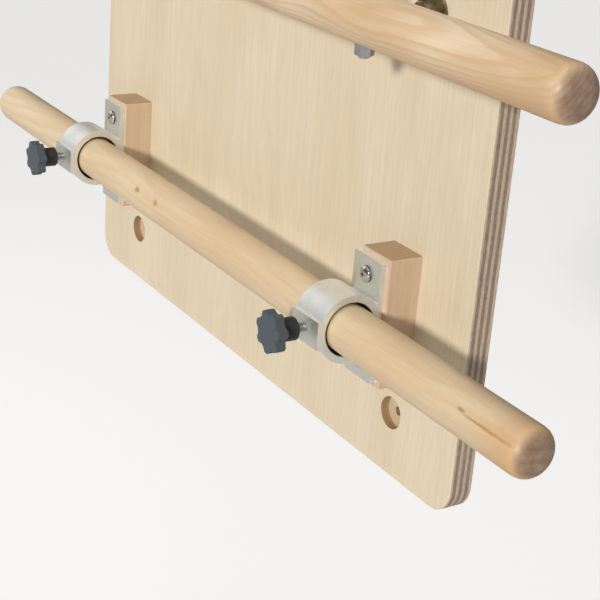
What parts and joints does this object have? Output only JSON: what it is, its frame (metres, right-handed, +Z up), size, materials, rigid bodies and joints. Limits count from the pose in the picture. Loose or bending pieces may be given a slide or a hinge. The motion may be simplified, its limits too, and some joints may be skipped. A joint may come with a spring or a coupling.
{
  "type": "wall-mounted roller board",
  "caption": "Plywood wall board with a wooden roller turning in braked aluminium ring brackets below a fixed wooden hand bar.",
  "frame": {"origin": "middle of the four wall bolts, on the back face of the board", "axes": "+X along the roller, to the right of someone facing the board; +Y into the wall; +Z up"},
  "size_m": [0.949, 0.1435, 0.53],
  "materials": {
    "birch_plywood": "satin clear-coated birch plywood with layered edges",
    "beech": "sanded steamed beech, satin oil",
    "turned_hardwood": "turned and sanded maple, satin",
    "cast_aluminium": "satin machined casting",
    "nickel_screw": "bright nickel plate",
    "zinc_steel": "bright zinc-plated steel",
    "nylon_pad": "natural nylon",
    "grey_plastic": "slate-grey moulded nylon with a fine texture"
  },
  "bodies": {
    "root": {"block_left": "beech", "block_right": "beech", "block_screws_left": "zinc_steel", "block_screws_right": "zinc_steel", "board": "birch_plywood", "bracket_left": "cast_aluminium", "bracket_right": "cast_aluminium", "bracket_screws_left": "nickel_screw", "bracket_screws_right": "nickel_screw", "eye_bolt_left": "zinc_steel", "eye_bolt_right": "zinc_steel", "eye_nut_back_left": "zinc_steel", "eye_nut_back_right": "zinc_steel", "eye_nut_front_left": "zinc_steel", "eye_nut_front_right": "zinc_steel", "eye_washer_back_left": "zinc_steel", "eye_washer_back_right": "zinc_steel", "eye_washer_front_left": "zinc_steel", "eye_washer_front_right": "zinc_steel", "hand_bar": "turned_hardwood", "pin_bolt_left": "zinc_steel", "pin_bolt_right": "zinc_steel", "pin_nut_left": "zinc_steel", "pin_nut_right": "zinc_steel", "pin_washers_left": "zinc_steel", "pin_washers_right": "zinc_steel"},
    "roller": {"roller": "turned_hardwood"},
    "pad_left": {"brake_pad_left": "nylon_pad"},
    "clamp_left": {"clamp_stud_left": "zinc_steel", "star_knob_left": "grey_plastic"},
    "pad_right": {"brake_pad_right": "nylon_pad"},
    "clamp_right": {"clamp_stud_right": "zinc_steel", "star_knob_right": "grey_plastic"}
  },
  "joints": [
    {"name": "roller_spin", "type": "hinge", "parent": "root", "child": "roller", "pos_m": [0.013, -0.08, -0.12], "axis": [1, 0, 0], "continuous": true},
    {"name": "pad_left_slide", "type": "slide", "parent": "root", "child": "pad_left", "axis": [0, 1, 0], "range_m": [-0.00376, 0.00031]},
    {"name": "knob_left_turn", "type": "hinge", "parent": "pad_left", "child": "clamp_left", "pos_m": [-0.24, -0.08, -0.12], "axis": [0, 1, 0], "range_deg": [-1080, 86.4]},
    {"name": "pad_right_slide", "type": "slide", "parent": "root", "child": "pad_right", "axis": [0, 1, 0], "range_m": [-0.00376, 0.00031]},
    {"name": "knob_right_turn", "type": "hinge", "parent": "pad_right", "child": "clamp_right", "pos_m": [0.236, -0.08, -0.12], "axis": [0, 1, 0], "range_deg": [-1080, 86.4]}
  ],
  "couplings": [
    {"joint": "pad_left_slide", "follows": "knob_left_turn", "m_per_rad": 0.00019894},
    {"joint": "pad_right_slide", "follows": "knob_right_turn", "m_per_rad": 0.00019894}
  ]
}
